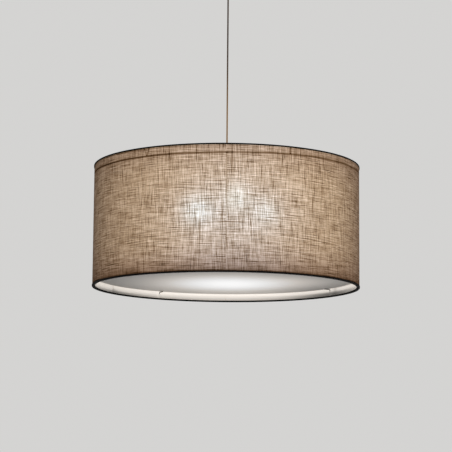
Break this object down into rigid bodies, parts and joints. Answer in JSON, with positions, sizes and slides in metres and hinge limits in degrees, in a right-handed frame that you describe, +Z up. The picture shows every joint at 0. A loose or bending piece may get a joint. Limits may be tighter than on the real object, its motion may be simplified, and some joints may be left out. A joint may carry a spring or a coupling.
{
  "type": "drum shade pendant light",
  "caption": "Ceiling pendant light with a wide linen drum shade, an opal diffuser, an inner lamp cluster and a slim cord from a round canopy.",
  "frame": {"origin": "middle of the ceiling bracket's top face, on the ceiling", "axes": "+Z up into the ceiling, along the cord; -Y is the front, +X is the right as seen from the front"},
  "size_m": [0.6022, 0.6022, 0.738],
  "materials": {
    "linen": "coarse linen weave",
    "white_liner": "matte film",
    "black_trim": "flat binding",
    "white_steel": "satin paint",
    "bright_steel": "zinc plated",
    "opal_plastic": "opal, matte",
    "white_plastic": "semi gloss",
    "ceramic": "glazed",
    "bulb_glass": "opal glass",
    "cord_sleeve": "golden brown sleeve",
    "brown_lead": "matte",
    "blue_lead": "matte"
  },
  "bodies": {
    "ceiling_rose": {"ceiling_bracket": "white_steel", "canopy": "white_steel", "canopy_screw_left": "bright_steel", "canopy_screw_right": "bright_steel", "canopy_cord_grip": "white_plastic", "canopy_grip_screw": "bright_steel", "canopy_lock_nut": "bright_steel", "terminal_block": "white_plastic", "terminal_screw_live": "bright_steel", "terminal_screw_neutral": "bright_steel", "supply_lead_live": "brown_lead", "supply_lead_neutral": "blue_lead", "cord_upper_end": "cord_sleeve"},
    "upper_bend": {"cord_bend_top": "cord_sleeve"},
    "cord": {"suspension_cord": "cord_sleeve"},
    "lower_bend": {"cord_bend_bottom": "cord_sleeve"},
    "shade": {"cord_lower_end": "cord_sleeve", "lamp_cord_grip": "white_plastic", "lamp_grip_screw": "bright_steel", "threaded_tube": "white_steel", "spider_hub": "white_steel", "hub_nut_top": "bright_steel", "hub_nut_bottom": "bright_steel", "spider_arm_front": "white_steel", "spider_arm_left": "white_steel", "spider_arm_right": "white_steel", "fitter_ring": "white_steel", "top_ring": "white_steel", "bottom_ring": "white_steel", "top_trim": "black_trim", "bottom_trim": "black_trim", "shade_fabric": "linen", "shade_liner_left": "white_liner", "shade_liner_right": "white_liner", "diffuser_hook_1": "bright_steel", "diffuser_hook_2": "bright_steel", "diffuser_hook_3": "bright_steel", "diffuser_hook_4": "bright_steel", "cluster_cup": "white_steel", "cluster_cover": "white_steel", "wire_connector": "white_plastic", "arm_tube_1": "white_steel", "arm_tube_2": "white_steel", "arm_tube_3": "white_steel", "lampholder_shell_1": "white_plastic", "lampholder_shell_2": "white_plastic", "lampholder_shell_3": "white_plastic", "lampholder_core_1": "ceramic", "lampholder_core_2": "ceramic", "lampholder_core_3": "ceramic", "lamp_lead_1": "brown_lead", "lamp_lead_2": "brown_lead", "lamp_lead_3": "brown_lead"},
    "diffuser_disc": {"diffuser": "opal_plastic"},
    "bulb_1": {"bulb_globe_1": "bulb_glass", "bulb_cap_1": "bright_steel"},
    "bulb_2": {"bulb_globe_2": "bulb_glass", "bulb_cap_2": "bright_steel"},
    "bulb_3": {"bulb_globe_3": "bulb_glass", "bulb_cap_3": "bright_steel"}
  },
  "joints": [
    {"name": "swing_front_back", "type": "hinge", "parent": "ceiling_rose", "child": "upper_bend", "pos_m": [0, 0, -0.0473], "axis": [1, 0, 0], "range_deg": [-30, 30]},
    {"name": "swing_sideways", "type": "hinge", "parent": "upper_bend", "child": "cord", "pos_m": [0, 0, -0.0473], "axis": [0, 1, 0], "range_deg": [-30, 30]},
    {"name": "cord_twist", "type": "hinge", "parent": "cord", "child": "lower_bend", "pos_m": [0, 0, -0.4526], "axis": [0, 0, 1], "range_deg": [-180, 180], "stiffness_Nm_per_rad": 0.01},
    {"name": "shade_tilt", "type": "hinge", "parent": "lower_bend", "child": "shade", "pos_m": [0, 0, -0.4526], "axis": [1, 0, 0], "range_deg": [-20, 20]},
    {"name": "diffuser_lift", "type": "slide", "parent": "shade", "child": "diffuser_disc", "axis": [0, 0, 1], "range_m": [0, 0.08]},
    {"name": "bulb_1_screw", "type": "hinge", "parent": "shade", "child": "bulb_1", "pos_m": [0.00722, -0.10325, -0.554], "axis": [0.0585, -0.8366, -0.5446], "range_deg": [0, 1440]},
    {"name": "bulb_2_screw", "type": "hinge", "parent": "shade", "child": "bulb_2", "pos_m": [0.08581, 0.05788, -0.554], "axis": [0.6953, 0.469, -0.5446], "range_deg": [0, 1440]},
    {"name": "bulb_3_screw", "type": "hinge", "parent": "shade", "child": "bulb_3", "pos_m": [-0.09303, 0.04537, -0.554], "axis": [-0.7538, 0.3676, -0.5446], "range_deg": [0, 1440]}
  ]
}
